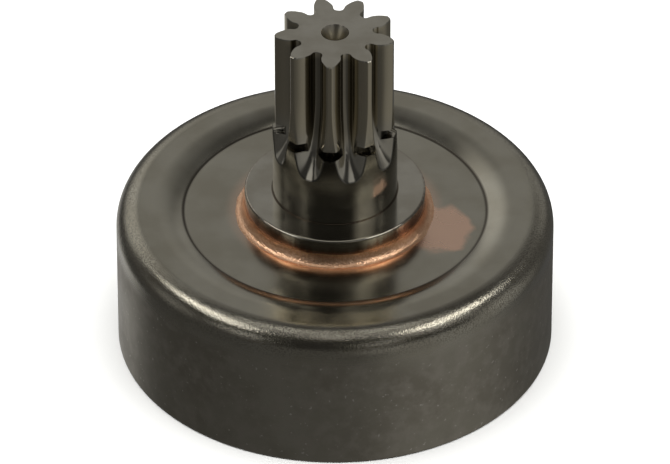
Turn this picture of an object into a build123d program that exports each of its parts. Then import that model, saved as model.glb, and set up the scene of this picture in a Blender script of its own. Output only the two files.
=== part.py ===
"""Clutch drum of a garden machine: a drawn steel cup with a pinion shaft copper-brazed to its face.

Frame: millimetres, +Z up along the shaft, origin on the axis in the plane of the cup's open rim.
"""

import os
from math import acos, cos, degrees, pi, radians, sin, sqrt, tan

from build123d import *

# Cup, drawn from sheet: the shoulder's bend is given on its inner side
DRUM_BORE = 50.0
SHEET = 1.4
DRUM_HEIGHT = 18.8
SHOULDER_BEND = 1.4
PANEL_DIAMETER = 36.6
PANEL_DEPTH = 0.8
CREST_RADIUS = 7.5
RIM_CHAMFER = 0.2
HUB_HOLE = 16.0

# Turned shaft
SPIGOT_CLEARANCE = 0.05
SPIGOT_STAND_OUT = 0.4
SPIGOT_CHAMFER = 0.3
FLANGE_DIAMETER = 21.8
FLANGE_HEIGHT = 3.4
FLANGE_EDGE = 0.25
SEAT_DIAMETER = 15.0
SEAT_LENGTH = 9.35
SEAT_RELIEF = 0.3
GROOVE_DIAMETER = 12.6
GROOVE_WIDTH = 1.1
PINION_LENGTH = 12.45
TIP_CHAMFER = 0.1
CENTRE_DIAMETER = 3.35
CENTRE_ANGLE = 60.0
CENTRE_PILOT = 1.6
CENTRE_DEPTH = 4.0

# Pinion teeth, hobbed: the gaps run out on the hob's radius and end as round scoops in the bearing seat
TEETH = 9
MODULE = 1.25
PRESSURE_ANGLE = 20.0
PROFILE_SHIFT = 0.35
TIP_DIAMETER = 14.4
ROOT_DIAMETER = 9.0
FIRST_TOOTH = 25.0
HOB_RADIUS = 22.0
HOB_TIP = 0.8
RUN_OUT_START = 6.6
SCOOP_RADIUS = 1.9

# Copper braze in the corner at the flange's foot
BRAZE_WIDTH = 1.2
BRAZE_HEIGHT = 1.5
BRAZE_SAG = 0.4

DRUM_RADIUS = DRUM_BORE / 2 + SHEET
PANEL_Z = DRUM_HEIGHT - PANEL_DEPTH
FLANGE_Z = PANEL_Z + FLANGE_HEIGHT
GROOVE_Z = FLANGE_Z + SEAT_LENGTH
PINION_Z = GROOVE_Z + GROOVE_WIDTH
TOP_Z = PINION_Z + PINION_LENGTH
RUN_OUT_Z = PINION_Z + RUN_OUT_START
SPIGOT_Z = PANEL_Z - SHEET - SPIGOT_STAND_OUT
BASE_RADIUS = TEETH * MODULE / 2 * cos(radians(PRESSURE_ANGLE))


def polar(centre, radius, angle):
    """Point on a circle in a flat sketch, the angle in degrees."""
    return (centre[0] + radius * cos(radians(angle)), centre[1] + radius * sin(radians(angle)))


def cup_side(inset):
    """Joined edges of one side of the sheet, from the rim to the hub hole, set in from the outer side.

    Outside, the shoulder is a round bend and the face sinks to the panel over a wide arc that ends at
    the panel's sharp edge. Inside, the punch leaves a plain bevel at both places.
    """
    shoulder = SHOULDER_BEND + SHEET
    skirt_x = DRUM_RADIUS - inset
    face_z = DRUM_HEIGHT - inset
    panel_z = PANEL_Z - inset
    centre = (DRUM_RADIUS - shoulder, DRUM_HEIGHT - shoulder)
    shoulder_mid = polar(centre, shoulder, 45)
    fall = acos(1 - PANEL_DEPTH / CREST_RADIUS)
    panel_edge = (PANEL_DIAMETER / 2, panel_z)
    crest_start = (panel_edge[0] + CREST_RADIUS * sin(fall), face_z)
    crest_mid = polar((crest_start[0], face_z - CREST_RADIUS), CREST_RADIUS, 90 + degrees(fall) / 2)
    bend_start = (skirt_x, centre[1])
    bend_end = (centre[0], face_z)
    if inset:
        bend = Edge.make_line(bend_start, bend_end)
        crest = Edge.make_line(crest_start, panel_edge)
    else:
        bend = Edge.make_three_point_arc(bend_start, shoulder_mid, bend_end)
        crest = Edge.make_three_point_arc(crest_start, crest_mid, panel_edge)
    return [
        Edge.make_line((skirt_x, 0), bend_start),
        bend,
        Edge.make_line(bend_end, crest_start),
        crest,
        Edge.make_line(panel_edge, (HUB_HOLE / 2, panel_z)),
    ]


def drum_cup():
    """Sheet profile turned about the axis, with the rim's two edges broken."""
    rim = Edge.make_line((DRUM_RADIUS - SHEET, 0), (DRUM_RADIUS, 0))
    hole = Edge.make_line((HUB_HOLE / 2, PANEL_Z - SHEET), (HUB_HOLE / 2, PANEL_Z))
    outline = Wire(cup_side(0) + cup_side(SHEET) + [rim, hole])
    cup = revolve(Plane.XZ * Face(outline), Axis.Z)
    rim_edges = cup.edges().filter_by(GeomType.CIRCLE).filter_by_position(Axis.Z, 0, 0)
    return chamfer(rim_edges, RIM_CHAMFER)


def centre_hole(end_z, direction):
    """Lathe centre: a cone with a pilot hole, cut into one end of the shaft."""
    cone_depth = (CENTRE_DIAMETER - CENTRE_PILOT) / 2 / tan(radians(CENTRE_ANGLE / 2))
    with BuildSketch(Plane.XZ) as section:
        with BuildLine():
            Polyline(
                (0, end_z),
                (CENTRE_DIAMETER / 2, end_z),
                (CENTRE_PILOT / 2, end_z + direction * cone_depth),
                (CENTRE_PILOT / 2, end_z + direction * CENTRE_DEPTH),
                (0, end_z + direction * (CENTRE_DEPTH + CENTRE_PILOT / 2)),
                close=True,
            )
        make_face()
    return revolve(section.sketch, Axis.Z)


def shaft_blank():
    """The shaft as it leaves the lathe, before the teeth are cut."""
    spigot = HUB_HOLE / 2 - SPIGOT_CLEARANCE
    flange = FLANGE_DIAMETER / 2
    seat = SEAT_DIAMETER / 2
    groove = GROOVE_DIAMETER / 2
    tip = TIP_DIAMETER / 2
    with BuildSketch(Plane.XZ) as section:
        with BuildLine():
            Polyline(
                (0, SPIGOT_Z),
                (spigot - SPIGOT_CHAMFER, SPIGOT_Z),
                (spigot, SPIGOT_Z + SPIGOT_CHAMFER),
                (spigot, PANEL_Z),
                (flange, PANEL_Z),
                (flange, FLANGE_Z - FLANGE_EDGE),
                (flange - FLANGE_EDGE, FLANGE_Z),
                (seat + SEAT_RELIEF, FLANGE_Z),
                (seat, FLANGE_Z + SEAT_RELIEF),
                (seat, GROOVE_Z),
                (groove, GROOVE_Z),
                (groove, PINION_Z),
                (tip, PINION_Z),
                (tip, TOP_Z - TIP_CHAMFER),
                (tip - TIP_CHAMFER, TOP_Z),
                (0, TOP_Z),
                close=True,
            )
        make_face()
    blank = revolve(section.sketch, Axis.Z)
    return blank - centre_hole(TOP_Z, -1) - centre_hole(SPIGOT_Z, 1)


def hob_lift(z):
    """How far the hob has swung out from the root at a height: nothing until the run-out starts."""
    drop = max(RUN_OUT_Z - z, 0)
    return HOB_RADIUS - sqrt(HOB_RADIUS**2 - drop**2)


def gap_wall(radius, lift):
    """Point of the gap's upper flank at a radius from the base circle up, with the gap centred on +X."""
    pressure = radians(PRESSURE_ANGLE)
    local = acos(BASE_RADIUS / radius)
    half_tooth = (pi / 2 + 2 * (PROFILE_SHIFT + lift / MODULE) * tan(pressure)) / TEETH
    half_tooth += tan(pressure) - pressure - tan(local) + local
    return polar((0, 0), radius, degrees(pi / TEETH - half_tooth))


def tooth_gap(z):
    """One gap, lying flat at a height: each flank is an arc through three points of the involute, good to
    0.04 mm, and below it the walls narrow to a flat root, as wide as the tip of the hob's tooth."""
    lift = hob_lift(z)
    root = ROOT_DIAMETER / 2 + lift
    outside = max(SEAT_DIAMETER, TIP_DIAMETER) / 2
    inside = max(BASE_RADIUS, root + HOB_TIP / 4)
    flank = [gap_wall(r, lift) for r in (inside, (inside + outside) / 2, outside)]
    clear_x = outside + MODULE
    with BuildSketch(Plane.XY.offset(z)) as section:
        with BuildLine():
            upper = ThreePointArc(*flank)
            lower = ThreePointArc(*[(x, -y) for x, y in flank])
            Polyline(upper @ 0, (root, HOB_TIP / 2), (root, -HOB_TIP / 2), lower @ 0)
            Polyline(upper @ 1, (clear_x, flank[2][1]), (clear_x, -flank[2][1]), lower @ 1)
        make_face()
    return section.sketch


def hob_cut():
    """What the hob takes out for one gap: straight along the teeth, then swinging out on its own radius.

    Down to the ring groove the gap keeps its involute flanks, which close in as the hob lifts. In the seat,
    where the hob only grazes the steel while the blank rolls past it, the gap opens to a round scoop.
    """
    root = ROOT_DIAMETER / 2
    straight = extrude(tooth_gap(RUN_OUT_Z), TOP_Z - RUN_OUT_Z + MODULE)
    levels = (RUN_OUT_Z, (RUN_OUT_Z + GROOVE_Z) / 2, GROOVE_Z)
    swing = loft([tooth_gap(z) for z in levels], ruled=True)
    round_gap = Pos(root + SCOOP_RADIUS, 0, RUN_OUT_Z) * Circle(SCOOP_RADIUS)
    hob_axis = Axis((root + HOB_RADIUS, 0, RUN_OUT_Z), (0, 1, 0))
    scoop = split(revolve(round_gap, hob_axis, -45), Plane.XY.offset(GROOVE_Z), keep=Keep.BOTTOM)
    return straight + swing + scoop


def pinion_shaft():
    """Lathe blank with the tooth gaps cut all round it."""
    first_gap = FIRST_TOOTH + 180 / TEETH
    cut = hob_cut()
    turns = PolarLocations(0, TEETH, start_angle=first_gap)
    return shaft_blank() - [place * cut for place in turns]


def braze_fillet():
    """Ring of braze in the corner of flange and panel, its face sunk between its two feet."""
    flange = FLANGE_DIAMETER / 2
    with BuildSketch(Plane.XZ) as section:
        with BuildLine():
            Polyline(
                (flange, PANEL_Z),
                (flange + BRAZE_WIDTH, PANEL_Z),
                (flange + BRAZE_SAG, PANEL_Z + BRAZE_SAG),
                (flange, PANEL_Z + BRAZE_HEIGHT),
                close=True,
            )
        make_face()
    return revolve(section.sketch, Axis.Z)


os.makedirs("parts", exist_ok=True)
export_step(drum_cup(), "parts/drum_cup.step")
export_step(pinion_shaft(), "parts/pinion_shaft.step")
export_step(braze_fillet(), "parts/braze_fillet.step")
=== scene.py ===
import math

import bmesh
import bpy
import numpy as np
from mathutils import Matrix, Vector


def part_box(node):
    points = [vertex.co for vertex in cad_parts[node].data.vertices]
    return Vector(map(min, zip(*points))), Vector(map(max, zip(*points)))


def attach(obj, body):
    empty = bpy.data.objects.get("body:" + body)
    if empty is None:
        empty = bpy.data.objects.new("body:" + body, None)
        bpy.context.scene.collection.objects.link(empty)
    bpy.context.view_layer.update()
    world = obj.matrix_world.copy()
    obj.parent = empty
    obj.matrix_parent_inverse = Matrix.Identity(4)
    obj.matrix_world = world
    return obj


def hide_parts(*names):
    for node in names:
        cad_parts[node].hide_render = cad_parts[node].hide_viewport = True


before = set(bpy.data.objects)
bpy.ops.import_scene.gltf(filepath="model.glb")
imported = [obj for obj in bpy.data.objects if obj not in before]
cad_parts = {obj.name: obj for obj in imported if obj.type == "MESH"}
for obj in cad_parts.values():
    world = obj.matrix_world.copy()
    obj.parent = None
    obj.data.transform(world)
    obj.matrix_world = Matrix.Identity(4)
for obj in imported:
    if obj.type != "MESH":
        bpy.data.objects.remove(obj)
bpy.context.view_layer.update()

bl_info = {
    "name": "Clutch drum",
    "version": (1, 0, 0),
    "blender": (4, 5, 0),
    "location": "3D View > Sidebar > Clutch drum",
    "description": "Builds the drawn cup, the hobbed pinion shaft and the braze ring of a clutch drum",
    "category": "Add Mesh",
}

MM = 0.001
CUP_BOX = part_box("drum_cup")
SHAFT_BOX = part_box("pinion_shaft")
BRAZE_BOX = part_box("braze_fillet")

# Points round the cup and the braze ring
CUP_STEPS = 480
BRAZE_STEPS = 720

# Points of half a tooth: on the gap's wall below and above the groove's floor, and on the tooth's land
DEEP_STEPS = 18
WALL_STEPS = 18
LAND_STEPS = 13

# Sizes of the patterns on the metals
SCALE_BLOTCH = 6 * MM
SCALE_CLOUD = 12 * MM
SCALE_MOTTLE = 2 * MM
LIGHT_SPECK = 0.5 * MM
ORANGE_PEEL = 0.14 * MM
STAIN_EDGE = 3 * MM
FURNACE_BLOTCH = 4 * MM
LATHE_FEED = 0.2 * MM
HOB_LINE = 0.25 * MM
FILM_STREAK = 0.4 * MM
COPPER_GRAIN = 0.25 * MM
COPPER_RIPPLE = 0.2 * MM

# Pale patches of the studio that the steel mirrors: azimuth, elevation and spread in degrees, radiance
PALE_PATCHES = {
    "left wall": (-145, 28, 28, 0.48),
    "right of the back wall": (150, 15, 20, 0.17),
    "back wall": (180, 20, 25, 0.18),
    "top of the back wall": (180, 45, 25, 0.075),
    "right of the camera, high": (57, 37, 22, 0.42),
    "above the camera": (0, 66, 17, 0.5),
    "far right, low": (85, 8, 18, 0.27),
    "far left, low": (-85, 8, 18, 0.2),
    "left of the camera, low": (-48, 18, 14, 0.5),
    "right of the camera, low": (23, 20, 14, 0.35),
    "ground at the back": (-152, -36, 26, 0.4),
    "ceiling on the left": (-90, 77, 14, 0.7),
    "ceiling on the right": (90, 77, 14, 0.7),
}


def linear(code):
    """Linear RGBA of an sRGB colour written as six hex digits."""
    value = np.array([int(code[i : i + 2], 16) for i in (0, 2, 4)]) / 255
    flat = np.where(value <= 0.04045, value / 12.92, ((value + 0.055) / 1.055) ** 2.4)
    return (*flat.tolist(), 1.0)


# Sizes and colours that a user would change


class CupSettings(bpy.types.PropertyGroup):
    """Sizes of the drawn cup and the colours of its steel."""

    outer_radius: bpy.props.FloatProperty(
        name="Outer radius", description="Radius of the skirt's outside",
        default=CUP_BOX[1][0], unit="LENGTH",
    )
    height: bpy.props.FloatProperty(
        name="Height", description="From the open rim to the face", default=CUP_BOX[1][2], unit="LENGTH"
    )
    sheet: bpy.props.FloatProperty(
        name="Sheet", description="Thickness of the drawn sheet", default=1.4 * MM, unit="LENGTH"
    )
    shoulder: bpy.props.FloatProperty(
        name="Shoulder", description="Outer radius of the bend at the face",
        default=2.8 * MM, unit="LENGTH",
    )
    panel_radius: bpy.props.FloatProperty(
        name="Panel radius", description="Radius of the sunk panel's edge",
        default=18.3 * MM, unit="LENGTH",
    )
    panel_depth: bpy.props.FloatProperty(
        name="Panel depth", description="How far the panel is sunk", default=0.8 * MM, unit="LENGTH"
    )
    crest: bpy.props.FloatProperty(
        name="Crest", description="Radius of the soft edge round the panel",
        default=7.5 * MM, unit="LENGTH",
    )
    rim_edge: bpy.props.FloatProperty(
        name="Rim edge", description="Broken edge of the open rim", default=0.2 * MM, unit="LENGTH"
    )
    hole_radius: bpy.props.FloatProperty(
        name="Hub hole", description="Radius of the hole for the spigot", default=8.0 * MM, unit="LENGTH"
    )
    stain_x: bpy.props.FloatProperty(
        name="Stain X", description="Middle of the copper stain on the panel",
        default=12.3 * MM, unit="LENGTH",
    )
    stain_y: bpy.props.FloatProperty(
        name="Stain Y", description="Middle of the copper stain on the panel",
        default=-3.9 * MM, unit="LENGTH",
    )
    stain_radius: bpy.props.FloatProperty(
        name="Stain radius", description="How far the copper stain runs", default=4.8 * MM, unit="LENGTH"
    )
    dark_steel: bpy.props.FloatVectorProperty(
        name="Dark steel", description="Darker blotches",
        default=linear("aca695"), size=4, min=0.0, max=1.0, subtype="COLOR",
    )
    light_steel: bpy.props.FloatVectorProperty(
        name="Light steel", description="Lighter blotches",
        default=linear("bcb7a7"), size=4, min=0.0, max=1.0, subtype="COLOR",
    )
    cloud: bpy.props.FloatVectorProperty(
        name="Clouds", description="Clouds of scale on the skirt",
        default=linear("a69f8f"), size=4, min=0.0, max=1.0, subtype="COLOR",
    )
    mottle: bpy.props.FloatVectorProperty(
        name="Mottle", description="Fine mottling on the skirt",
        default=linear("bab3a4"), size=4, min=0.0, max=1.0, subtype="COLOR",
    )
    speck: bpy.props.FloatVectorProperty(
        name="Specks", description="Rubbed specks on the skirt",
        default=linear("dcd6ca"), size=4, min=0.0, max=1.0, subtype="COLOR",
    )
    pits: bpy.props.FloatVectorProperty(
        name="Pits", description="Pits of the drawn shoulder",
        default=linear("979182"), size=4, min=0.0, max=1.0, subtype="COLOR",
    )
    # Colour of the painted shade in the corner at the panel's edge and up the crest at the front
    painted_shade: bpy.props.FloatVectorProperty(
        name="Grime", description="Grime at the panel's edge",
        default=linear("4c453c"), size=4, min=0.0, max=1.0, subtype="COLOR",
    )
    stain: bpy.props.FloatVectorProperty(
        name="Stain", description="Copper on the panel",
        default=linear("fad3b8"), size=4, min=0.0, max=1.0, subtype="COLOR",
    )


class ShaftSettings(bpy.types.PropertyGroup):
    """Sizes of the turned and hobbed shaft and the colours of its steel."""

    top: bpy.props.FloatProperty(
        name="Top", description="Height of the pinion's end face", default=SHAFT_BOX[1][2], unit="LENGTH"
    )
    bottom: bpy.props.FloatProperty(
        name="Bottom", description="Height of the spigot's end face",
        default=SHAFT_BOX[0][2], unit="LENGTH",
    )
    flange_radius: bpy.props.FloatProperty(
        name="Flange", description="Radius of the flange", default=SHAFT_BOX[1][0], unit="LENGTH"
    )
    flange_top: bpy.props.FloatProperty(
        name="Flange top", description="Height of the bearing's shoulder",
        default=21.4 * MM, unit="LENGTH",
    )
    flange_edge: bpy.props.FloatProperty(
        name="Flange edge", description="Rounding of the flange's edge", default=0.25 * MM, unit="LENGTH"
    )
    spigot_radius: bpy.props.FloatProperty(
        name="Spigot", description="Radius of the spigot in the cup", default=7.95 * MM, unit="LENGTH"
    )
    spigot_lead: bpy.props.FloatProperty(
        name="Spigot lead", description="Chamfer of the spigot's end", default=0.3 * MM, unit="LENGTH"
    )
    seat_radius: bpy.props.FloatProperty(
        name="Seat", description="Radius of the bearing seat", default=7.5 * MM, unit="LENGTH"
    )
    seat_fillet: bpy.props.FloatProperty(
        name="Seat fillet", description="Fillet between flange and seat",
        default=0.06 * MM, unit="LENGTH",
    )
    groove_bottom: bpy.props.FloatProperty(
        name="Groove", description="Height of the ring groove's lower wall",
        default=30.75 * MM, unit="LENGTH",
    )
    groove_width: bpy.props.FloatProperty(
        name="Groove width", description="Width of the ring groove", default=1.1 * MM, unit="LENGTH"
    )
    groove_radius: bpy.props.FloatProperty(
        name="Groove floor", description="Radius of the ring groove's floor",
        default=6.3 * MM, unit="LENGTH",
    )
    centre_radius: bpy.props.FloatProperty(
        name="Centre hole", description="Mouth radius of the lathe centres",
        default=1.675 * MM, unit="LENGTH",
    )
    pilot_radius: bpy.props.FloatProperty(
        name="Pilot", description="Radius of the lathe centres' pilot", default=0.8 * MM, unit="LENGTH"
    )
    centre_depth: bpy.props.FloatProperty(
        name="Centre depth", description="Depth of the lathe centres", default=4.0 * MM, unit="LENGTH"
    )
    teeth: bpy.props.IntProperty(name="Teeth", description="Number of teeth", default=9, min=6)
    module: bpy.props.FloatProperty(
        name="Module", description="Pitch diameter over the number of teeth",
        default=1.25 * MM, unit="LENGTH",
    )
    pressure: bpy.props.FloatProperty(
        name="Pressure angle", description="Of the basic rack", default=math.radians(20), subtype="ANGLE"
    )
    shift: bpy.props.FloatProperty(
        name="Profile shift", description="In modules, outwards", default=0.35, subtype="FACTOR"
    )
    tip_radius: bpy.props.FloatProperty(
        name="Tip", description="Radius over the teeth", default=7.2 * MM, unit="LENGTH"
    )
    tip_chamfer: bpy.props.FloatProperty(
        name="Tip chamfer", description="Chamfer of the teeth at the top",
        default=0.1 * MM, unit="LENGTH",
    )
    root_radius: bpy.props.FloatProperty(
        name="Root", description="Radius at the bottom of the gaps", default=4.5 * MM, unit="LENGTH"
    )
    first_tooth: bpy.props.FloatProperty(
        name="First tooth", description="Turn of a tooth from +X",
        default=math.radians(25), subtype="ANGLE",
    )
    hob_radius: bpy.props.FloatProperty(
        name="Hob", description="Radius of the gaps' run-out", default=22.0 * MM, unit="LENGTH"
    )
    hob_round: bpy.props.FloatProperty(
        name="Hob tip", description="Rounding of the hob's teeth", default=0.42 * MM, unit="LENGTH"
    )
    run_out: bpy.props.FloatProperty(
        name="Run-out", description="Where the run-out starts above the groove",
        default=6.6 * MM, unit="LENGTH",
    )
    worn_edge: bpy.props.FloatProperty(
        name="Worn edge", description="Width of the broken edges of the teeth",
        default=0.06 * MM, unit="LENGTH",
    )
    dings: bpy.props.FloatProperty(
        name="Dings", description="Depth of the nicks in the teeth's edges",
        default=0.18 * MM, unit="LENGTH",
    )
    dark_steel: bpy.props.FloatVectorProperty(
        name="Dark steel", description="Darker blotches",
        default=linear("aea899"), size=4, min=0.0, max=1.0, subtype="COLOR",
    )
    light_steel: bpy.props.FloatVectorProperty(
        name="Light steel", description="Lighter blotches",
        default=linear("c0bbad"), size=4, min=0.0, max=1.0, subtype="COLOR",
    )
    flank: bpy.props.FloatVectorProperty(
        name="Flanks", description="Steel of the teeth",
        default=linear("b7ae97"), size=4, min=0.0, max=1.0, subtype="COLOR",
    )
    scale: bpy.props.FloatVectorProperty(
        name="Scale", description="Scale deep in the gaps",
        default=linear("8a8475"), size=4, min=0.0, max=1.0, subtype="COLOR",
    )
    # Colour of the painted shade in the ring groove
    groove: bpy.props.FloatVectorProperty(
        name="Groove colour", description="Scale in the ring groove",
        default=linear("57534a"), size=4, min=0.0, max=1.0, subtype="COLOR",
    )
    # The seat's colours paint shade: the darker high one towards the groove
    seat_low: bpy.props.FloatVectorProperty(
        name="Seat, low", description="Rubbed seat at the flange",
        default=linear("a09d93"), size=4, min=0.0, max=1.0, subtype="COLOR",
    )
    seat_high: bpy.props.FloatVectorProperty(
        name="Seat, high", description="Rubbed seat at the groove",
        default=linear("66635b"), size=4, min=0.0, max=1.0, subtype="COLOR",
    )
    # Colour of the painted shade in the corner at the seat's foot
    painted_shade: bpy.props.FloatVectorProperty(
        name="Grime", description="Grime at the seat's foot",
        default=linear("6a6052"), size=4, min=0.0, max=1.0, subtype="COLOR",
    )
    dull: bpy.props.FloatVectorProperty(
        name="Dull steel", description="Steel of the lathe centres",
        default=linear("b8b2a3"), size=4, min=0.0, max=1.0, subtype="COLOR",
    )
    thin_film: bpy.props.FloatVectorProperty(
        name="Thin film", description="Copper high on the flange",
        default=linear("755540"), size=4, min=0.0, max=1.0, subtype="COLOR",
    )
    # Colour of the copper film near the braze, lighter partly as a painted reflection of the braze
    film_and_braze_reflection: bpy.props.FloatVectorProperty(
        name="Thick film", description="Copper near the braze",
        default=linear("c69572"), size=4, min=0.0, max=1.0, subtype="COLOR",
    )


class BrazeSettings(bpy.types.PropertyGroup):
    """Sizes and colours of the copper ring at the flange's foot."""

    inner_radius: bpy.props.FloatProperty(
        name="Inner radius", description="Where it wets the flange",
        default=SHAFT_BOX[1][0], unit="LENGTH",
    )
    outer_radius: bpy.props.FloatProperty(
        name="Outer radius", description="How far it runs on the panel",
        default=BRAZE_BOX[1][0], unit="LENGTH",
    )
    foot: bpy.props.FloatProperty(
        name="Foot", description="Height of the panel", default=BRAZE_BOX[0][2], unit="LENGTH"
    )
    top: bpy.props.FloatProperty(
        name="Top", description="How high it wets the flange", default=BRAZE_BOX[1][2], unit="LENGTH"
    )
    film: bpy.props.FloatProperty(
        name="Film", description="Thickness of its upper edge on the flange",
        default=0.01 * MM, unit="LENGTH",
    )
    waver: bpy.props.FloatProperty(
        name="Waver", description="How far its edges wander", default=0.12 * MM, unit="LENGTH"
    )
    dark_copper: bpy.props.FloatVectorProperty(
        name="Dark copper", description="Darker crystals",
        default=linear("f0bb92"), size=4, min=0.0, max=1.0, subtype="COLOR",
    )
    light_copper: bpy.props.FloatVectorProperty(
        name="Light copper", description="Lighter crystals",
        default=linear("ffd0aa"), size=4, min=0.0, max=1.0, subtype="COLOR",
    )


class StageSettings(bpy.types.PropertyGroup):
    """Camera, light and paper of the studio."""

    elevation: bpy.props.FloatProperty(
        name="Elevation", description="Camera above the horizon",
        default=math.radians(36.8), subtype="ANGLE",
    )
    distance: bpy.props.FloatProperty(
        name="Distance", description="Camera from the shaft's middle", default=0.95, unit="LENGTH"
    )
    middle: bpy.props.FloatProperty(
        name="Middle", description="Height that the distance is measured to",
        default=22 * MM, unit="LENGTH",
    )
    aim: bpy.props.FloatProperty(
        name="Aim", description="Height on the axis at the picture's centre",
        default=14.6 * MM, unit="LENGTH",
    )
    lens: bpy.props.FloatProperty(name="Lens", description="Focal length", default=424.3, unit="CAMERA")
    key: bpy.props.FloatProperty(name="Softboxes", description="Radiance of the softboxes", default=3.4)
    fill: bpy.props.FloatProperty(name="Fill", description="Radiance of the overhead fill", default=3.6)
    floor_reach: bpy.props.FloatProperty(
        name="Floor", description="From the middle of the floor to its sides", default=3.0, unit="LENGTH"
    )
    paper: bpy.props.FloatVectorProperty(
        name="Paper", description="Floor and backdrop",
        default=linear("f4f4f2"), size=4, min=0.0, max=1.0, subtype="COLOR",
    )


# Surfaces


def arc(centre, radius, start, end, count):
    """Points of an arc in the (radius, height) plane: centre + radius * (cos, sin) of even angles."""
    angle = np.radians(np.linspace(start, end, count))
    return np.stack([centre[0] + radius * np.cos(angle), centre[1] + radius * np.sin(angle)], -1)


def run(start, end):
    """Straight stretch between two points, with points bunched at both ends to hold the shading flat."""
    share = np.array([0, 0.015, 0.06, 0.25, 0.5, 0.75, 0.94, 0.985, 1])[:, None]
    return np.array(start) * (1 - share) + np.array(end) * share


def turn(profile, count):
    """Profile points (radius, height) carried round +Z: (r cos a, r sin a, z) on a grid of angles a."""
    angle = np.linspace(0, 2 * np.pi, count, endpoint=False)
    radius = profile[:, :1]
    height = np.broadcast_to(profile[:, 1:], (len(profile), count))
    return np.stack([radius * np.cos(angle), radius * np.sin(angle), height], -1)


def skin(name, grid, closed, sharp):
    """Mesh object over a grid of points that wraps round in its columns, and in its rows too if closed.

    Collapsed points are merged, faces are turned outwards, and edges over the sharp angle, in degrees, stay
    crisp.
    """
    rows, columns = grid.shape[:2]
    upper = np.arange(rows * columns).reshape(rows, columns)
    lower = np.roll(upper, -1, axis=0)
    if not closed:
        upper = upper[:-1]
        lower = lower[:-1]
    quads = np.stack([upper, lower, np.roll(lower, -1, axis=1), np.roll(upper, -1, axis=1)], -1)
    mesh = bpy.data.meshes.new(name)
    mesh.from_pydata(grid.reshape(-1, 3), [], quads.reshape(-1, 4))
    work = bmesh.new()
    work.from_mesh(mesh)
    bmesh.ops.remove_doubles(work, verts=work.verts, dist=1e-6)
    bmesh.ops.recalc_face_normals(work, faces=work.faces)
    work.to_mesh(mesh)
    work.free()
    mesh.shade_smooth()
    mesh.set_sharp_from_angle(angle=math.radians(sharp))
    piece = bpy.data.objects.new(name, mesh)
    bpy.context.scene.collection.objects.link(piece)
    return piece


def finish_piece(piece, node, material):
    """Puts the material on a piece and lets it stand for its CAD node."""
    piece.data.materials.append(material)
    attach(piece, "root")
    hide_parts(node)


def cup_profile(cup):
    """Closed (radius, height) outline of the sheet: up the outside from the rim, in to the hole, and back.

    Outside: skirt, quarter-circle shoulder, flat face, wide arc falling to the panel, panel. Inside, the
    same line a sheet's thickness further in, so the wall keeps its thickness.
    """
    shoulder_at = (cup.outer_radius - cup.shoulder, cup.height - cup.shoulder)
    fall = math.acos(1 - cup.panel_depth / cup.crest)
    crest_r = cup.panel_radius + cup.crest * math.sin(fall)
    panel_z = cup.height - cup.panel_depth
    inner_r = cup.outer_radius - cup.sheet
    crest_at = (crest_r, cup.height - cup.crest)
    crest_end = 90 + math.degrees(fall)
    outside = [
        run((cup.outer_radius, cup.rim_edge), (cup.outer_radius, shoulder_at[1])),
        arc(shoulder_at, cup.shoulder, 0, 90, 26),
        run((shoulder_at[0], cup.height), (crest_r, cup.height)),
        arc(crest_at, cup.crest, 90, crest_end, 16),
        run((cup.panel_radius, panel_z), (cup.hole_radius, panel_z)),
    ]
    inside = [
        run((inner_r, cup.rim_edge), (inner_r, shoulder_at[1])),
        arc(shoulder_at, cup.shoulder - cup.sheet, 0, 90, 16),
        run((shoulder_at[0], cup.height - cup.sheet), (crest_r, cup.height - cup.sheet)),
        arc(crest_at, cup.crest - cup.sheet, 90, crest_end, 12),
        run((cup.panel_radius, panel_z - cup.sheet), (cup.hole_radius, panel_z - cup.sheet)),
    ]
    rim = np.array([(inner_r + cup.rim_edge, 0), (cup.outer_radius - cup.rim_edge, 0)])
    return np.vstack(outside + [np.vstack(inside)[::-1], rim])


def gap_angle(shaft, tip, radius):
    """Half the angle of a tooth gap at each radius, for a hob whose tip reaches in to the given radius.

    The hob is a rack rolling on the pitch circle p. Its tooth is b wide to each side at u above its tip: a
    round corner, then a straight flank. With the point at radius r standing at s from the rack's middle
    line, u is r cos s - tip and the tooth reaches the angle s + (b - r sin s) / p. The gap takes the largest
    of these over all s that the tooth can reach.
    """
    pitch_r = shaft.teeth * shaft.module / 2
    slope = math.tan(shaft.pressure)
    depth = pitch_r + shaft.shift * shaft.module - shaft.root_radius
    half_tip = math.pi / 4 * shaft.module - depth * slope
    middle = half_tip + shaft.hob_round * (slope - 1 / math.cos(shaft.pressure))
    reach = np.arccos(np.minimum(tip / radius, 1))
    stand = reach[..., None] * np.linspace(-1, 1, 81)
    above = np.maximum(radius[..., None] * np.cos(stand) - tip[..., None], 0)
    corner = np.minimum(above, shaft.hob_round)
    rounded = middle + np.sqrt(shaft.hob_round**2 - (shaft.hob_round - corner) ** 2)
    straight = half_tip + above * slope
    tooth = np.where(above < shaft.hob_round * (1 - math.sin(shaft.pressure)), rounded, straight)
    return (stand + (tooth - radius[..., None] * np.sin(stand)) / pitch_r).max(-1)


def run_out_heights(shaft):
    """Heights where the gaps start to run out and where they leave the bearing seat.

    The hob's middle lies h outside the root, so the cut reaches the seat's radius s at
    sqrt(h^2 - (root + h - s)^2) below the start.
    """
    start = shaft.groove_bottom + shaft.groove_width + shaft.run_out
    across = shaft.root_radius + shaft.hob_radius - shaft.seat_radius
    return start, start - math.sqrt(shaft.hob_radius**2 - across**2)


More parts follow.
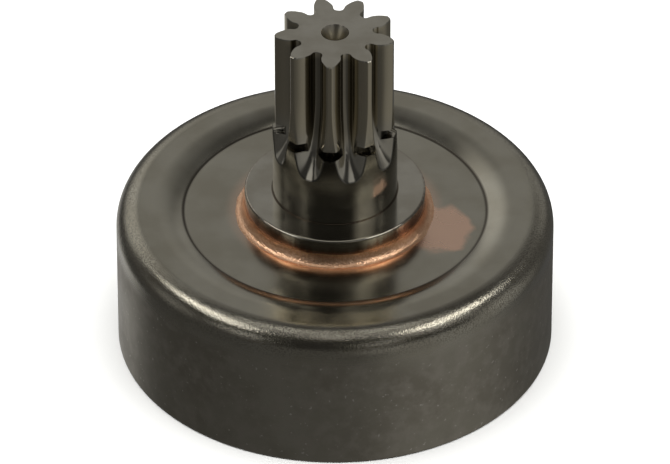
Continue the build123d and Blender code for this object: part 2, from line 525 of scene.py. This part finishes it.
def toothed_rows(shaft, height, blank):
    """Angle and radius from the middle of a gap to the middle of a tooth, for rows of given blank radius.

    A row follows the gap to the groove's floor, on to the worn edge, and then the blank's circle.
    Below the start of the run-out the hob swings out: dz lower its tip has lifted by h - sqrt(h^2 - dz^2).
    """
    drop = np.maximum(run_out_heights(shaft)[0] - height, 0)
    lift = shaft.hob_radius - np.sqrt(shaft.hob_radius**2 - drop**2)
    tip = np.minimum(shaft.root_radius + lift, blank)[:, None]
    outside = blank[:, None]
    edge = np.where(outside > shaft.groove_radius, np.minimum(shaft.worn_edge, (outside - tip) / 2), 0)
    floor = np.clip(shaft.groove_radius, tip, outside - edge)
    to_floor = tip + (floor - tip) * np.linspace(0, 1, DEEP_STEPS, endpoint=False) ** 2
    to_edge = floor + (outside - edge - floor) * np.linspace(0, 1, WALL_STEPS)
    radius = np.hstack([to_floor, to_edge])
    half_pitch = math.pi / shaft.teeth
    # A gap stays just short of the tooth's middle, so that its columns keep their order
    angle = np.minimum(gap_angle(shaft, tip, radius), half_pitch * 0.985)
    angle[:, 0] = 0
    land_start = np.minimum(gap_angle(shaft, tip, outside) + edge / outside, half_pitch * 0.99)
    land = land_start + (half_pitch - land_start) * np.linspace(0, 1, LAND_STEPS)
    return np.hstack([angle, land]), np.hstack([radius, np.broadcast_to(outside, land.shape)])


def toothed_bands(shaft):
    """Heights and blank radii of the rows that have gaps, from the top down to the end of the run-out.

    A band has its upper and lower height, its blank radius, its number of rows, and a power p: its rows lie
    at 1 - (1 - t)^p of its height for even t, so a power of 2 crowds them at its lower end.
    """
    groove_top = shaft.groove_bottom + shaft.groove_width
    start, leave = run_out_heights(shaft)
    tip = shaft.tip_radius
    bands = [
        (shaft.top, shaft.top, tip - shaft.tip_chamfer, 1, 1),
        (shaft.top - shaft.tip_chamfer, start, tip, 8, 1),
        (start, groove_top, tip, 14, 1),
        (groove_top, shaft.groove_bottom, shaft.groove_radius, 5, 1),
        (shaft.groove_bottom, leave, shaft.seat_radius, 36, 2),
    ]
    shares = [1 - (1 - np.linspace(0, 1, count, endpoint=power == 1)) ** power for *_, count, power in bands]
    height = np.hstack([high + (low - high) * share for (high, low, *_), share in zip(bands, shares)])
    blank = np.hstack([np.full(count, radius) for _, _, radius, count, _ in bands])
    return height, blank


def centre_hole(shaft):
    """(radius, depth) points of a lathe centre from its floor to its mouth: a pilot and a 60 degree cone."""
    cone = (shaft.centre_radius - shaft.pilot_radius) / math.tan(math.radians(30))
    return np.array([
        (0, shaft.centre_depth + shaft.pilot_radius / 2),
        (shaft.pilot_radius, shaft.centre_depth),
        (shaft.pilot_radius, cone),
        (shaft.centre_radius, 0),
    ])


def turned_profile(shaft):
    """(radius, height) points of the plain rows: seat, fillet, flange, spigot and the lower centre hole."""
    leave = run_out_heights(shaft)[1]
    seat = shaft.seat_radius
    fillet_at = (seat + shaft.seat_fillet, shaft.flange_top + shaft.seat_fillet)
    edge_at = (shaft.flange_radius - shaft.flange_edge, shaft.flange_top - shaft.flange_edge)
    panel_z = BRAZE_BOX[0][2]
    lead = shaft.spigot_lead
    return np.vstack([
        run((seat, leave), (seat, fillet_at[1])),
        arc(fillet_at, shaft.seat_fillet, 180, 270, 9),
        run((fillet_at[0], shaft.flange_top), (edge_at[0], shaft.flange_top)),
        arc(edge_at, shaft.flange_edge, 90, 0, 9),
        run((shaft.flange_radius, edge_at[1]), (shaft.flange_radius, panel_z)),
        np.array([(shaft.spigot_radius, panel_z), (shaft.spigot_radius, shaft.bottom + lead)]),
        np.array([(shaft.spigot_radius - lead, shaft.bottom), (shaft.centre_radius, shaft.bottom)]),
        centre_hole(shaft)[:3][::-1] + np.array([0, shaft.bottom]),
    ])


def shaft_grid(shaft):
    """The whole shaft as one grid, from the floor of the top centre hole over the teeth to the lower one.

    Each row is worked out for half a gap and half a tooth, mirrored, and repeated for every tooth. On the
    end face the rows go from circles to the teeth's outline, with two of them close to it as a lip. In the
    plain rows below the teeth the gap's points fall together, and the mesh merges them. The edges at the
    teeth's top and at the groove are lowered here and there by a seeded random number, as small nicks.
    """
    height, blank = toothed_bands(shaft)
    angle, radius = toothed_rows(shaft, height, blank)
    width = angle.shape[1]
    half_pitch = math.pi / shaft.teeth
    top_angle = (angle[0] + np.linspace(0, half_pitch, width)) / 2
    face = np.array([(shaft.root_radius * 0.6, 0), (shaft.root_radius * 0.93, 0)])
    above = np.vstack([centre_hole(shaft), face]) * (1, -1) + (0, shaft.top)
    lip = np.array([0.93, 0.97])[:, None]
    lip_angle = (1 - lip) * top_angle + lip * angle[0]
    lip_radius = (1 - lip) * above[-1, 0] + lip * radius[0]
    below = turned_profile(shaft)
    plain_angle = np.hstack([np.zeros(DEEP_STEPS + WALL_STEPS), np.linspace(0, half_pitch, LAND_STEPS)])
    half_angle = np.vstack(
        [np.tile(top_angle, (len(above), 1)), lip_angle, angle, np.tile(plain_angle, (len(below), 1))]
    )
    half_radius = np.vstack([np.tile(above[:, :1], width), lip_radius, radius, np.tile(below[:, :1], width)])
    level = np.hstack([above[:, 1], np.full(len(lip), shaft.top), height, below[:, 1]])
    period_angle = np.hstack([-half_angle[:, :0:-1], half_angle[:, :-1]])
    period_radius = np.hstack([half_radius[:, :0:-1], half_radius[:, :-1]])
    turns = shaft.first_tooth + half_pitch + 2 * half_pitch * np.arange(shaft.teeth)
    full_angle = (period_angle[:, None, :] + turns[None, :, None]).reshape(len(level), -1)
    full_radius = np.tile(period_radius, shaft.teeth)
    columns = full_angle.shape[1]
    full_level = np.tile(level[:, None], columns)
    outer = half_radius[:, -1] > shaft.tip_radius - 1.2 * shaft.tip_chamfer
    # A high power leaves most edges whole; a nick is four points wide
    nicks = np.random.default_rng(3).random((2, columns // 4 + 1)) ** 9
    nicks = np.repeat(nicks, 4, axis=1)[:, :columns] * shaft.dings
    full_level[outer & np.isin(level, (shaft.top, shaft.top - shaft.tip_chamfer))] -= nicks[0]
    full_level[outer & (level == shaft.groove_bottom)] -= nicks[1]
    return np.stack([full_radius * np.cos(full_angle), full_radius * np.sin(full_angle), full_level], -1)


def braze_grid(braze):
    """Ring with a hollow face: a quarter ellipse from the panel up to the flange, its two feet wandering.

    The feet's places are the set sizes plus a few sine waves round the ring with fixed, uneven phases.
    """
    angle = np.linspace(0, 2 * np.pi, BRAZE_STEPS, endpoint=False)
    phases = np.random.default_rng(7).uniform(0, 2 * np.pi, (2, 24))
    waves = np.arange(3, 27)
    sway = (np.sin(angle[:, None, None] * waves + phases) / np.sqrt(waves)).sum(-1)
    sway = sway / np.abs(sway).max(0) * braze.waver
    width = braze.outer_radius - braze.inner_radius - braze.film - braze.waver + sway[:, 0]
    rise = braze.top - braze.foot - braze.waver + sway[:, 1]
    bend = np.radians(np.linspace(0, 90, 18))[:, None]
    radius = braze.inner_radius + braze.film + width * (1 - np.sin(bend))
    height = braze.foot + rise * (1 - np.cos(bend))
    back_radius = np.full((2, len(angle)), braze.inner_radius - braze.film)
    back_height = np.stack([braze.foot + rise * 0.5, np.full(len(angle), braze.foot)])
    radius = np.vstack([radius, back_radius])
    height = np.vstack([height, back_height])
    return np.stack([radius * np.cos(angle), radius * np.sin(angle), height], -1)


# Materials, whose small offsets in millimetres are the soft edges of their masks


def add(tree, kind, *inputs, give=None, **settings):
    """Adds a node with its settings and gives one output, by name or else the first that is open.

    The open inputs are filled in order with values, or with other nodes' outputs to link; None skips one.
    """
    made = tree.nodes.new("ShaderNode" + kind)
    for key, value in settings.items():
        setattr(made, key, value)
    sockets = [socket for socket in made.inputs if socket.enabled]
    for socket, value in zip(sockets, inputs):
        if isinstance(value, bpy.types.NodeSocket):
            tree.links.new(value, socket)
        elif value is not None:
            socket.default_value = value
    if give:
        return made.outputs[give]
    return next(socket for socket in made.outputs if socket.enabled)


def mask(tree, *steps):
    """Product of smooth steps, each given as its value, start and end, and its levels if not 0 and 1."""
    parts = [add(tree, "MapRange", *step, interpolation_type="SMOOTHSTEP") for step in steps]
    share = parts[0]
    for part in parts[1:]:
        share = add(tree, "Math", share, part, operation="MULTIPLY")
    return share


def coated(tree, base, *coats):
    """Colour of a base under coats, each given as its mask and its colour."""
    for share, colour in coats:
        base = add(tree, "Mix", share, base, colour, data_type="RGBA")
    return base


def raised(tree, base, *rises):
    """Number with more added where masks lie, each given with its amount."""
    for share, amount in rises:
        base = add(tree, "Math", share, amount, base, operation="MULTIPLY_ADD")
    return base


def blank_metal(name):
    """A new metal material: the material, its tree and its Object coordinates."""
    material = bpy.data.materials.new(name)
    material.use_nodes = True
    tree = material.node_tree
    tree.nodes["Principled BSDF"].inputs["Metallic"].default_value = 1.0
    return material, tree, add(tree, "TexCoord", give="Object")


def link_metal(tree, colour, rough, bump):
    """Links a metal's colour, roughness and bump to its shader."""
    shader = tree.nodes["Principled BSDF"].inputs
    tree.links.new(colour, shader["Base Color"])
    tree.links.new(rough, shader["Roughness"])
    tree.links.new(bump, shader["Normal"])


def about_axis(tree, place):
    """The shaded place without its height, its distance from the axis, and its height."""
    flat = add(tree, "VectorMath", place, (1, 1, 0), operation="MULTIPLY")
    radius = add(tree, "VectorMath", flat, operation="LENGTH")
    return flat, radius, add(tree, "SeparateXYZ", place, give="Z")


def crest_shade_mask(tree, place, radius, cup):
    """Painted shade in the corner at the panel's edge, which climbs the crest at the front as a painted dark
    reflection.
    """
    edge = cup.panel_radius
    front = add(tree, "SeparateXYZ", place, give="Y")
    # At the front the painted shade climbs the crest, where the crest mirrors dark
    climb = mask(tree, (front, -0.55 * edge, -0.8 * edge, 0.35 * MM, 1.6 * MM))
    past_edge = add(tree, "Math", radius, edge, operation="SUBTRACT")
    return mask(tree, (radius, edge - 0.3 * MM, edge), (past_edge, climb, 0.0, 0.0, 0.9))


def stain_mask(tree, place, radius, height, cup):
    """Where copper has run on the panel: a thin halo round the braze and one ragged patch beside it."""
    ragged = add(tree, "TexNoise", place, 1 / STAIN_EDGE, 3.0)
    halo = mask(tree, (radius, BRAZE_BOX[1][0] + 1.5 * MM, BRAZE_BOX[1][0] - 0.5 * MM, 0.0, 0.45))
    patch = add(tree, "VectorMath", place, (cup.stain_x, cup.stain_y, 0), operation="SUBTRACT")
    patch = add(tree, "VectorMath", patch, (1.0, 0.9, 0), operation="MULTIPLY")
    away = add(tree, "VectorMath", patch, operation="LENGTH")
    # The noise lies about 0.5, and moves the edge by a few millimetres
    wander = add(tree, "Math", ragged, 0.5, operation="SUBTRACT")
    reach = raised(tree, away, (wander, 3.2 * MM))
    spot = mask(tree, (reach, cup.stain_radius, cup.stain_radius - 1.3 * MM))
    copper = add(tree, "Math", halo, spot, operation="MAXIMUM")
    panel_z = cup.height - cup.panel_depth
    upper_side = mask(tree, (height, panel_z - 0.6 * cup.sheet, panel_z - 0.3 * cup.sheet))
    return add(tree, "Math", copper, upper_side, operation="MULTIPLY")


def drawn_steel(cup):
    """Drawn mild steel after the brazing furnace: dark satin flats that mirror the hub softly, a shoulder
    pitted by the draw like orange peel, and a duller, clouded skirt with worn specks. Painted shade lies at
    the panel's edge and climbs the crest at the front, and copper has run on the panel."""
    material, tree, place = blank_metal("drawn_mild_steel_furnace_grey")
    _, radius, height = about_axis(tree, place)
    bend_r = cup.outer_radius - cup.shoulder
    bend_z = cup.height - cup.shoulder
    drawn = mask(
        tree,
        (radius, bend_r - 0.4 * MM, bend_r + 1.0 * MM),
        (height, bend_z - 1.5 * MM, bend_z + 0.8 * MM),
    )
    on_skirt = (height, bend_z, bend_z - 2.5 * MM)
    skirt = mask(tree, on_skirt)
    blotch = add(tree, "TexNoise", place, 1 / SCALE_BLOTCH, 4.0)
    peel = add(tree, "TexNoise", place, 1 / ORANGE_PEEL, 0.0)
    fleck = add(tree, "TexNoise", place, 1 / LIGHT_SPECK, 1.0)
    cloud = add(tree, "TexNoise", place, 1 / SCALE_CLOUD, 5.0, 0.6)
    mottle = add(tree, "TexNoise", place, 1 / SCALE_MOTTLE, 4.0, 0.6)
    pits = add(tree, "Math", mask(tree, (peel, 0.42, 0.68)), drawn, operation="MULTIPLY")
    # Painted shade at the panel's edge and up the crest at the front; the same mask also roughens the steel
    # there
    painted_shade = crest_shade_mask(tree, place, radius, cup)
    copper = stain_mask(tree, place, radius, height, cup)
    colour = coated(
        tree,
        cup.dark_steel,
        (mask(tree, (blotch, 0.3, 0.7)), cup.light_steel),
        (mask(tree, (cloud, 0.42, 0.62), on_skirt), cup.cloud),
        (mask(tree, (mottle, 0.4, 0.7), on_skirt), cup.mottle),
        (mask(tree, (fleck, 0.7, 0.78), on_skirt), cup.speck),
        (pits, cup.pits),
        (painted_shade, cup.painted_shade),
        (copper, cup.stain),
    )
    satin = mask(tree, (blotch, 0.25, 0.75, 0.15, 0.22))
    rough = raised(tree, satin, (skirt, 0.17), (drawn, 0.03), (painted_shade, 0.2), (copper, 0.08))
    depth = raised(tree, 0.02, (drawn, 0.3))
    link_metal(tree, colour, rough, add(tree, "Bump", depth, 0.06 * MM, None, peel))
    return material


def film_mask(tree, flat, radius, height, shaft):
    """Copper film on the flange's side, which climbs less at the front and ends in streaks."""
    side = shaft.flange_radius
    streak = add(tree, "TexNoise", flat, 1 / FILM_STREAK, 3.0)
    front = add(tree, "SeparateXYZ", flat, give="Y")
    climb = mask(tree, (front, -side, -0.75 * side, 0.5 * MM, -0.5 * MM))
    ragged = mask(tree, (streak, 0.3, 0.7, -0.3 * MM, 0.3 * MM))
    reach = raised(tree, ragged, (climb, 1.0), (height, 1.0))
    return mask(
        tree,
        (reach, shaft.flange_top, shaft.flange_top - 1.6 * MM),
        (radius, side - 0.4 * MM, side - 0.1 * MM),
    )


def gap_mask(tree, radius, height, shaft):
    """Deep in the tooth gaps, between the ring groove and the end face."""
    return mask(
        tree,
        (radius, shaft.root_radius + 2.1 * MM, shaft.root_radius + 0.5 * MM),
        (radius, shaft.root_radius - 2.5 * MM, shaft.root_radius - 1.5 * MM),
        (height, shaft.groove_bottom - 0.75 * MM, shaft.groove_bottom + 3.25 * MM),
        (height, shaft.top - 0.1 * MM, shaft.top - 1.2 * MM),
    )


def groove_shade_mask(tree, radius, height, shaft):
    """Walls and floor of the ring groove, without the gaps that cross it, where a dark colour paints shade.
    """
    groove_top = shaft.groove_bottom + shaft.groove_width
    return mask(
        tree,
        (height, shaft.groove_bottom - 0.05 * MM, shaft.groove_bottom + 0.02 * MM),
        (height, groove_top + 0.05 * MM, groove_top - 0.02 * MM),
        (radius, shaft.tip_radius, shaft.tip_radius - 0.2 * MM),
        (radius, shaft.groove_radius - 0.2 * MM, shaft.groove_radius - 0.02 * MM),
    )


def seat_mask(tree, radius, height, shaft):
    """The bearing seat's own cylinder, without the scoops in it."""
    return mask(
        tree,
        (height, shaft.flange_top + 0.05 * MM, shaft.flange_top + 0.3 * MM),
        (height, shaft.groove_bottom + 0.1 * MM, shaft.groove_bottom),
        (radius, shaft.seat_radius - 0.12 * MM, shaft.seat_radius - 0.02 * MM),
    )


def corner_mask(tree, radius, height, shaft):
    """The corner at the seat's foot, where a dark colour paints shade over the fillet's highlight."""
    return mask(
        tree,
        (height, shaft.flange_top + 0.2 * MM, shaft.flange_top + 0.1 * MM),
        (radius, shaft.seat_radius + 0.2 * MM, shaft.seat_radius + 0.1 * MM),
    )


def turned_steel(shaft):
    """Turned and hobbed alloy steel, darkened in the furnace: fine rings on the flange and seat, fine
    lengthwise lines on the warmer teeth, scale in the gaps, painted shade in the ring groove, at the seat's
    foot and on the seat, which darkens towards the groove, dull lathe centres, and a copper film that has
    crept up the flange's side, lighter near the braze, which is partly real copper and partly a painted
    reflection of the braze."""
    material, tree, place = blank_metal("turned_alloy_steel_furnace_grey")
    flat, radius, height = about_axis(tree, place)
    scoop_end = run_out_heights(shaft)[1]
    # Feed marks and hob lines are drawn coarser than they are, so that they show
    feed = add(tree, "CombineXYZ", raised(tree, radius, (height, 1.0)))
    rings = add(tree, "TexNoise", feed, 1 / LATHE_FEED, 2.0)
    along = add(tree, "VectorMath", place, (1, 1, 0.03), operation="MULTIPLY")
    lines = add(tree, "TexNoise", along, 1 / HOB_LINE, 2.0)
    teeth = mask(tree, (height, scoop_end - 0.86 * MM, scoop_end + 0.14 * MM))
    hole = mask(tree, (radius, shaft.centre_radius + 0.02 * MM, shaft.centre_radius - 0.05 * MM))
    marks = add(tree, "Mix", hole, add(tree, "Mix", teeth, rings, lines), rings)
    blotch = add(tree, "TexNoise", place, 1 / FURNACE_BLOTCH, 4.0)
    flank = mask(
        tree,
        (height, shaft.groove_bottom, shaft.groove_bottom + 4 * MM),
        (height, shaft.top - 0.05 * MM, shaft.top - 0.3 * MM),
    )
    # Painted shade: the seat darkens towards the groove
    seat_shade = mask(tree, (height, shaft.flange_top + 4.1 * MM, shaft.flange_top + 7.1 * MM))
    film = film_mask(tree, flat, radius, height, shaft)
    # Near the braze the film is lighter: real copper, and partly a painted reflection of the braze's
    # highlight
    near_braze = mask(tree, (height, BRAZE_BOX[1][2] + 0.6 * MM, BRAZE_BOX[1][2] - 0.3 * MM))
    colour = coated(
        tree,
        shaft.dark_steel,
        (mask(tree, (blotch, 0.3, 0.7)), shaft.light_steel),
        (flank, shaft.flank),
        (gap_mask(tree, radius, height, shaft), shaft.scale),
        # Painted shade in the ring groove, so that its walls don't mirror the light
        (groove_shade_mask(tree, radius, height, shaft), shaft.groove),
        (seat_mask(tree, radius, height, shaft), coated(tree, shaft.seat_low, (seat_shade, shaft.seat_high))),
        # Painted shade in the corner at the seat's foot
        (corner_mask(tree, radius, height, shaft), shaft.painted_shade),
        (hole, shaft.dull),
        (film, coated(tree, shaft.thin_film, (near_braze, shaft.film_and_braze_reflection))),
    )
    film_and_braze_reflection = add(tree, "Math", film, near_braze, operation="MULTIPLY")
    polish = mask(tree, (blotch, 0.25, 0.75, 0.1, 0.16))
    rough = raised(tree, polish, (film_and_braze_reflection, 0.2), (hole, 0.18))
    depth = raised(tree, 0.12, (hole, 0.6))
    link_metal(tree, colour, rough, add(tree, "Bump", depth, 0.02 * MM, None, marks))
    return material


def braze_copper(braze):
    """Copper braze as it freezes in the furnace: warm metal with a crystal grain and small ripples that
    break the highlight into sparkles."""
    material, tree, place = blank_metal("furnace_braze_copper")
    grain = add(tree, "TexVoronoi", place, 1 / COPPER_GRAIN, give="Color")
    tone = add(tree, "SeparateXYZ", grain, give="X")
    ripple = add(tree, "TexNoise", place, 1 / COPPER_RIPPLE, 0.0)
    shader = tree.nodes["Principled BSDF"].inputs
    tree.links.new(coated(tree, braze.dark_copper, (tone, braze.light_copper)), shader["Base Color"])
    shader["Roughness"].default_value = 0.3
    tree.links.new(add(tree, "Bump", 0.9, 0.06 * MM, None, ripple), shader["Normal"])
    return material


def studio_paper(stage):
    """Matt white paper for the floor, without any sheen."""
    material = bpy.data.materials.new("matt_white_paper")
    material.use_nodes = True
    shader = material.node_tree.nodes["Principled BSDF"].inputs
    shader["Base Color"].default_value = stage.paper
    shader["Roughness"].default_value = 0.9
    shader["Specular IOR Level"].default_value = 0.0
    return material


# Studio


def toward(azimuth, elevation):
    """Unit direction at a bearing from the camera's side, to the right for positive angles, in degrees."""
    bearing = math.radians(azimuth)
    rise = math.radians(elevation)
    return Vector((math.sin(bearing) * math.cos(rise), -math.cos(bearing) * math.cos(rise), math.sin(rise)))


def softbox(name, azimuth, elevation, distance, size, radiance, mirrored=True):
    """Area light at a bearing from the camera's side, aimed at the object; one not mirrored lights only
    matt surfaces. Its power is radiance times pi times its area."""
    light = bpy.data.lights.new(name, "AREA")
    light.shape = "RECTANGLE"
    light.size, light.size_y = size
    light.energy = radiance * math.pi * size[0] * size[1]
    lamp = bpy.data.objects.new(name, light)
    way = toward(azimuth, elevation)
    lamp.location = way * distance
    lamp.rotation_euler = way.to_track_quat("Z", "Y").to_euler()
    lamp.visible_camera = False
    lamp.visible_glossy = mirrored
    bpy.context.scene.collection.objects.link(lamp)


def pale_patch(tree, way, azimuth, elevation, spread, radiance):
    """Soft round patch of the surroundings at a bearing, fading out at its spread."""
    near = add(tree, "VectorMath", way, toward(azimuth, elevation), operation="DOT_PRODUCT")
    edge = math.cos(math.radians(spread))
    core = math.cos(math.radians(spread / 4))
    return mask(tree, (near, edge, core, 0.0, radiance))


def studio_world(stage):
    """Surroundings that the steel mirrors, white to the eye itself.

    Below the horizon a dark ground, lighter to the right front. Above it a grey wall that ends in a dark
    ceiling and falls off behind the camera, with pale patches on it. The small levels are radiances.
    """
    world = bpy.data.worlds.new("studio")
    world.use_nodes = True
    tree = world.node_tree
    way = add(tree, "TexCoord", give="Generated")
    up = add(tree, "SeparateXYZ", way, give="Z")
    back = add(tree, "SeparateXYZ", way, give="Y")
    right_front = add(tree, "VectorMath", way, (0.75, -0.4, 0.0), operation="DOT_PRODUCT")
    dark_ground = mask(tree, (right_front, -0.4, 0.3, 0.078, 0.106))
    ground = raised(tree, dark_ground, (mask(tree, (right_front, 0.42, 0.68)), 0.16))
    wall = add(tree, "Mix", mask(tree, (up, 0.62, 0.82)), mask(tree, (back, -0.3, 0.6, 0.038, 0.12)), 0.07)
    tone = add(tree, "Mix", mask(tree, (up, -0.1, 0.1)), ground, wall)
    patches = [pale_patch(tree, way, *patch) for patch in PALE_PATCHES.values()]
    tone = raised(tree, tone, *[(patch, 1.0) for patch in patches])
    seen = add(tree, "LightPath", give="Is Camera Ray")
    shade = add(tree, "Mix", seen, tone, stage.paper, data_type="RGBA")
    tree.links.new(shade, tree.nodes["Background"].inputs["Color"])
    return world


def studio_floor(stage):
    """Flat square of paper under the object, which the steel doesn't mirror."""
    reach = stage.floor_reach
    corners = [(-reach, -reach, 0), (reach, -reach, 0), (reach, reach, 0), (-reach, reach, 0)]
    sheet = bpy.data.meshes.new("studio_floor")
    sheet.from_pydata(corners, [], [(0, 1, 2, 3)])
    sheet.materials.append(studio_paper(stage))
    floor = bpy.data.objects.new("studio_floor", sheet)
    floor.visible_glossy = False
    bpy.context.scene.collection.objects.link(floor)
    return floor


def studio_camera(stage):
    """Camera at the set elevation and distance, aimed at a point on the shaft's axis."""
    lens = bpy.data.cameras.new("camera")
    lens.lens = stage.lens
    lens.sensor_width = 36.0
    camera = bpy.data.objects.new("camera", lens)
    rise = stage.distance * math.sin(stage.elevation)
    camera.location = (0, -stage.distance * math.cos(stage.elevation), stage.middle + rise)
    sight = Vector((0, 0, stage.aim)) - camera.location
    camera.rotation_euler = sight.to_track_quat("-Z", "Y").to_euler()
    bpy.context.scene.collection.objects.link(camera)
    return camera


# Operators


class CLUTCH_OT_cup(bpy.types.Operator):
    """Build the drawn steel cup"""

    bl_idname = "clutch_drum.cup"
    bl_label = "Drawn cup"

    def execute(self, context):
        cup = context.scene.clutch_cup
        piece = skin("drawn_cup", turn(cup_profile(cup), CUP_STEPS), closed=True, sharp=35)
        finish_piece(piece, "drum_cup", drawn_steel(cup))
        return {"FINISHED"}


class CLUTCH_OT_shaft(bpy.types.Operator):
    """Build the turned shaft with its hobbed pinion"""

    bl_idname = "clutch_drum.shaft"
    bl_label = "Pinion shaft"

    def execute(self, context):
        shaft = context.scene.clutch_shaft
        piece = skin("hobbed_pinion_shaft", shaft_grid(shaft), closed=False, sharp=30)
        finish_piece(piece, "pinion_shaft", turned_steel(shaft))
        return {"FINISHED"}


class CLUTCH_OT_braze(bpy.types.Operator):
    """Build the copper braze ring at the flange's foot"""

    bl_idname = "clutch_drum.braze"
    bl_label = "Braze ring"

    def execute(self, context):
        braze = context.scene.clutch_braze
        piece = skin("braze_ring", braze_grid(braze), closed=True, sharp=50)
        finish_piece(piece, "braze_fillet", braze_copper(braze))
        return {"FINISHED"}


class CLUTCH_OT_stage(bpy.types.Operator):
    """Set up the floor, the lights and the camera"""

    bl_idname = "clutch_drum.stage"
    bl_label = "Studio"

    def execute(self, context):
        scene = context.scene
        stage = scene.clutch_stage
        studio_floor(stage)
        scene.world = studio_world(stage)
        scene.view_settings.view_transform = "Standard"
        softbox("left", -83, 50, 1.2, (0.84, 0.24), stage.key)
        softbox("right", 74, 50, 1.2, (0.84, 0.24), stage.key)
        softbox("overhead_fill", 0, 89, 1.6, (2.0, 2.0), stage.fill, mirrored=False)
        scene.camera = studio_camera(stage)
        return {"FINISHED"}


class CLUTCH_PT_panel(bpy.types.Panel):
    """Lists the pieces of the clutch drum"""

    bl_label = "Clutch drum"
    bl_idname = "CLUTCH_PT_panel"
    bl_space_type = "VIEW_3D"
    bl_region_type = "UI"
    bl_category = "Clutch drum"

    def draw(self, context):
        for name, operator in PIECES:
            box = self.layout.box()
            box.operator(operator)
            settings = getattr(context.scene, name)
            for key in settings.__annotations__:
                box.prop(settings, key)


SETTINGS = {
    "clutch_cup": CupSettings,
    "clutch_shaft": ShaftSettings,
    "clutch_braze": BrazeSettings,
    "clutch_stage": StageSettings,
}
OPERATORS = (CLUTCH_OT_cup, CLUTCH_OT_shaft, CLUTCH_OT_braze, CLUTCH_OT_stage)
PIECES = [(name, operator.bl_idname) for name, operator in zip(SETTINGS, OPERATORS)]


def register():
    for name, group in SETTINGS.items():
        bpy.utils.register_class(group)
        setattr(bpy.types.Scene, name, bpy.props.PointerProperty(type=group))
    for kind in (*OPERATORS, CLUTCH_PT_panel):
        bpy.utils.register_class(kind)


def unregister():
    for kind in (CLUTCH_PT_panel, *reversed(OPERATORS)):
        bpy.utils.unregister_class(kind)
    for name, group in SETTINGS.items():
        delattr(bpy.types.Scene, name)
        bpy.utils.unregister_class(group)


def main():
    register()
    bpy.ops.clutch_drum.cup()
    bpy.ops.clutch_drum.shaft()
    bpy.ops.clutch_drum.braze()
    bpy.ops.clutch_drum.stage()


if __name__ == "__main__":
    main()
